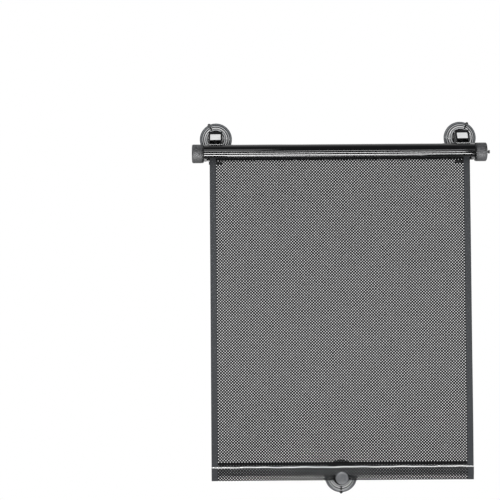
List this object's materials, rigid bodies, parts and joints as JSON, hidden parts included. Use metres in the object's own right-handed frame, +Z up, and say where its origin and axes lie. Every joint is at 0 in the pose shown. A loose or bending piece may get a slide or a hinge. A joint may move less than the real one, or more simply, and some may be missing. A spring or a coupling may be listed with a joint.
{
  "type": "car sunshade",
  "caption": "Roller sunshade for a car side window: a perforated sheet drawn from a sprung case with a release pin, clip brackets and suction cups.",
  "frame": {"origin": "on the window glass, midway between the two upper suction cups, at the height of their centres", "axes": "+X to the right seen from inside the car, +Y out through the glass, +Z up"},
  "size_m": [0.4561, 0.0458, 0.5738],
  "materials": {
    "gloss_black": "gloss",
    "matt_grey": "matt, fine grain",
    "black_plastic": "satin",
    "bracket_black": "semi-gloss",
    "soft_vinyl": "gloss, slightly see-through",
    "sheet_vinyl": "perforated film, satin",
    "grey_nylon": "satin",
    "bar_grey": "satin",
    "roller_grey": "satin",
    "white_acetal": "satin",
    "steel": "bright"
  },
  "bodies": {
    "case": {"case_tube": "gloss_black", "left_end_plug": "black_plastic", "right_end_plug": "black_plastic", "left_end_cap": "matt_grey", "right_end_cap": "matt_grey", "left_bracket": "bracket_black", "right_bracket": "bracket_black", "spring_arbor": "steel", "mesh_sheet": "sheet_vinyl", "button_spring": "steel"},
    "roller": {"roller_core": "roller_grey", "sheet_roll": "sheet_vinyl", "left_roller_plug": "white_acetal", "right_roller_plug": "white_acetal", "spring_anchor": "white_acetal", "return_spring": "steel"},
    "release": {"release_button": "black_plastic", "brake_cone": "white_acetal"},
    "hem": {"hem_sleeve": "sheet_vinyl", "hem_bar": "bar_grey", "hem_button": "grey_nylon", "hem_socket": "black_plastic"},
    "left_cup": {"left_cup": "soft_vinyl"},
    "right_cup": {"right_cup": "soft_vinyl"},
    "bottom_cup": {"bottom_cup": "soft_vinyl"}
  },
  "joints": [
    {"name": "hem_pull", "type": "slide", "parent": "case", "child": "hem", "axis": [0, 0, 1], "range_m": [0, 0.458], "deforming": ["mesh_sheet"]},
    {"name": "roller_turn", "type": "hinge", "parent": "case", "child": "roller", "pos_m": [0, -0.03146, -0.0253], "axis": [1, 0, 0], "range_deg": [0, 3100]},
    {"name": "button_press", "type": "slide", "parent": "case", "child": "release", "axis": [-1, 0, 0], "range_m": [0, 0.0028], "stiffness_N_per_m": 400, "springref_m": -0.003, "deforming": ["button_spring"]},
    {"name": "left_cup_swivel", "type": "hinge", "parent": "case", "child": "left_cup", "pos_m": [-0.1895, 0, 0], "axis": [0, 1, 0], "continuous": true},
    {"name": "right_cup_swivel", "type": "hinge", "parent": "case", "child": "right_cup", "pos_m": [0.1895, 0, 0], "axis": [0, 1, 0], "continuous": true},
    {"name": "bottom_cup_swivel", "type": "hinge", "parent": "hem", "child": "bottom_cup", "pos_m": [0, 0, -0.5218], "axis": [0, 1, 0], "continuous": true}
  ],
  "couplings": [
    {"joint": "roller_turn", "follows": "hem_pull", "rad_per_m": 118}
  ]
}
